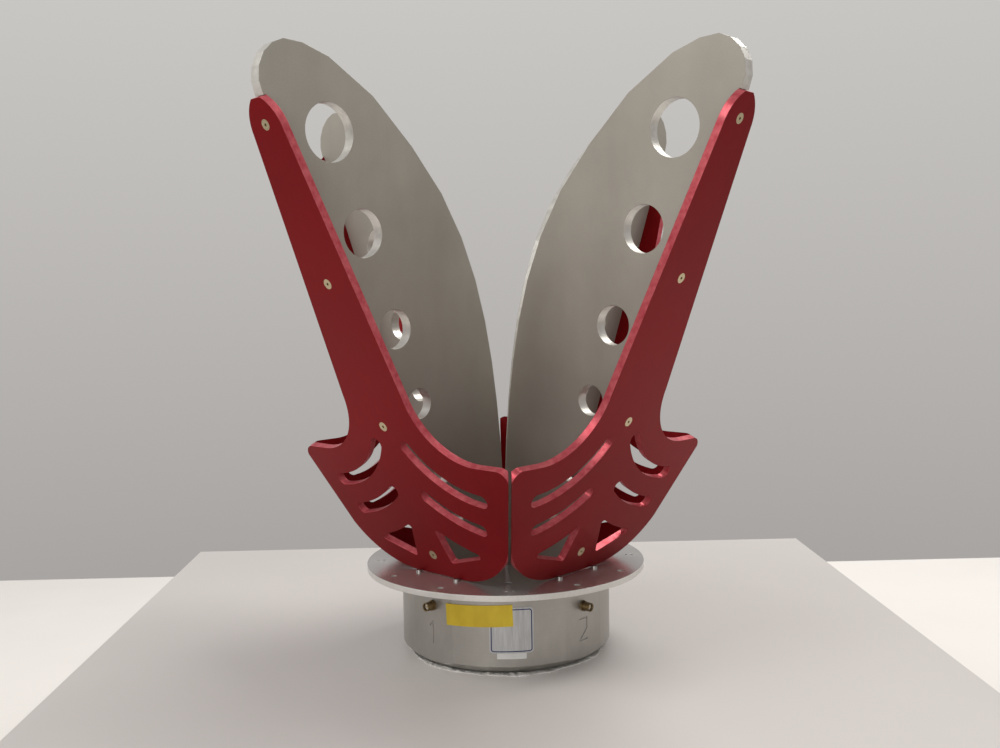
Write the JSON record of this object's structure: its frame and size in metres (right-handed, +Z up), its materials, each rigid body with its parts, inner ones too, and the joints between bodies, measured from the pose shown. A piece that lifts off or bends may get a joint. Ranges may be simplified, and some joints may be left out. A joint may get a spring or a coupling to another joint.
{
  "type": "ridged horn antenna",
  "caption": "Open ridged horn antenna: flared metal ridges backed by slotted red side plates, standing on a round flange and can with coaxial ports.",
  "frame": {"origin": "middle of the underside of the base, where the part stands", "axes": "+Z up along the horn's axis; the ridges lie along +X, +Y, -X and -Y; port one faces -Y and port two faces +X"},
  "size_m": [0.5114, 0.5114, 0.512],
  "materials": {
    "foil": "crumpled bright foil",
    "can_metal": "fine turned, light grey",
    "cover_metal": "plain milled",
    "flange_metal": "smooth and bright, faintly mirror-like",
    "ridge_metal": "bead blasted, warm grey, with bright hole walls",
    "red_plate": "deep red anodised, matt, with brighter cut edges",
    "plate_screw_metal": "pale brassy plated steel look, dark hexagonal sockets",
    "small_screw_metal": "plain bright steel",
    "dark_screw_metal": "black oxide",
    "jack_metal": "dark gold-plated brass",
    "feed_insulator": "white",
    "feed_metal": "copper coloured",
    "id_plate_metal": "bare satin silver, with a dark blue line around it",
    "tape": "plain yellow adhesive tape",
    "sticker": "plain white"
  },
  "bodies": {
    "root": {"base_pad": "foil", "bottom_cover": "cover_metal", "cover_screws": "dark_screw_metal", "can": "can_metal", "flange": "flange_metal", "flange_screws": "small_screw_metal", "ridge_right": "ridge_metal", "ridge_back": "ridge_metal", "ridge_left": "ridge_metal", "ridge_front": "ridge_metal", "side_plate_right": "red_plate", "side_plate_back": "red_plate", "side_plate_left": "red_plate", "side_plate_front": "red_plate", "plate_screws_right": "plate_screw_metal", "plate_screws_back": "plate_screw_metal", "plate_screws_left": "plate_screw_metal", "plate_screws_front": "plate_screw_metal", "ridge_foot_screws": "dark_screw_metal", "jack_body_one": "jack_metal", "jack_insulator_one": "feed_insulator", "feed_tube_one": "feed_metal", "feed_core_one": "feed_insulator", "feed_pin_one": "feed_metal", "jack_body_two": "jack_metal", "jack_insulator_two": "feed_insulator", "feed_tube_two": "feed_metal", "feed_core_two": "feed_insulator", "feed_pin_two": "feed_metal", "id_plate": "id_plate_metal", "yellow_tape": "tape", "white_sticker": "sticker"}
  },
  "joints": []
}
